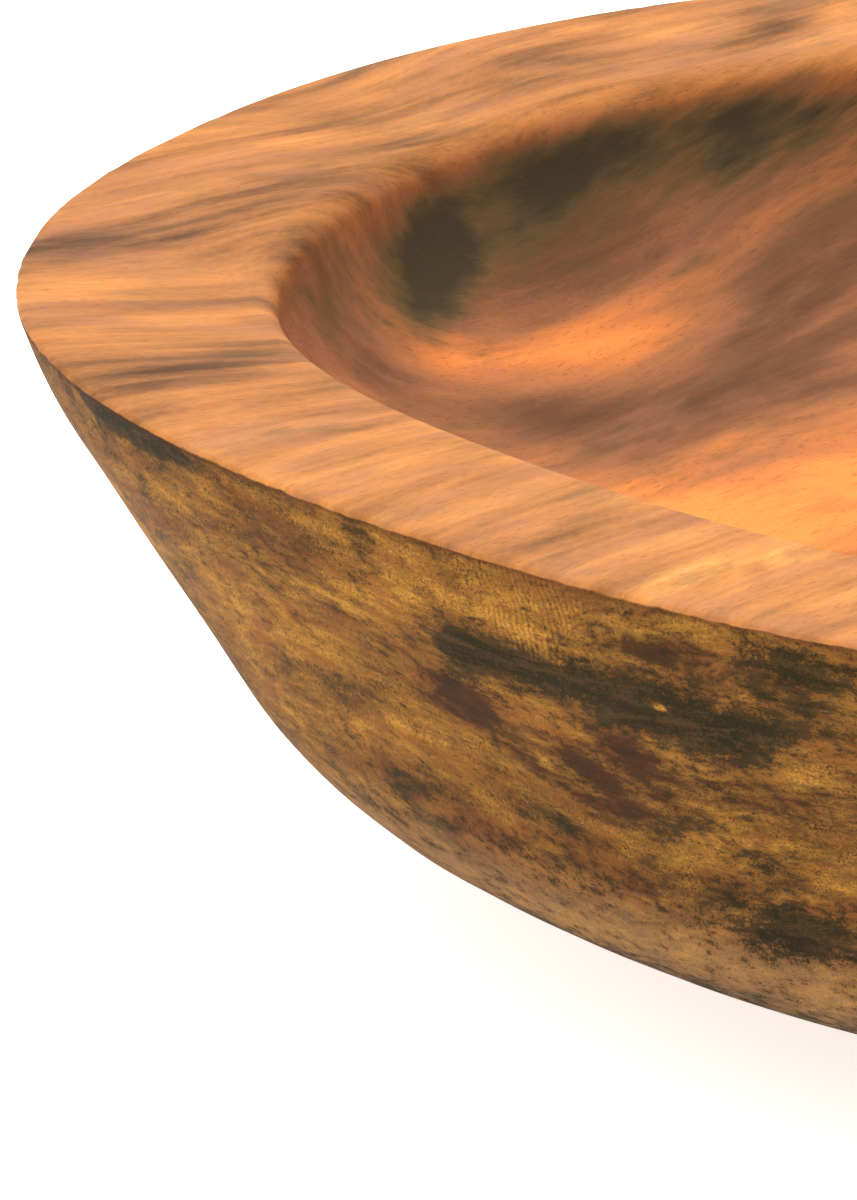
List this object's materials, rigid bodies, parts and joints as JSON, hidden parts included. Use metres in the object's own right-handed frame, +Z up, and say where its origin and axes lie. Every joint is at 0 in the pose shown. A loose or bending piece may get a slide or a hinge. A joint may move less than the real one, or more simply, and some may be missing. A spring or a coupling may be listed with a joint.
{
  "type": "bowl",
  "caption": "Hand-carved wooden bowl with a wide flat rim, a leaning outer wall that turns under to a flat foot, and a smooth rounded hollow.",
  "frame": {"origin": "on the surface the bowl stands on, below the middle of the bowl's box", "axes": "+Z up out of the hollow; +X to the right and +Y away, seen from the side that is pictured"},
  "size_m": [0.2946, 0.319, 0.08],
  "materials": {
    "wood": "satin, worn, streaked orange-brown with dark mottling outside"
  },
  "bodies": {
    "root": {"bowl": "wood"}
  },
  "joints": []
}
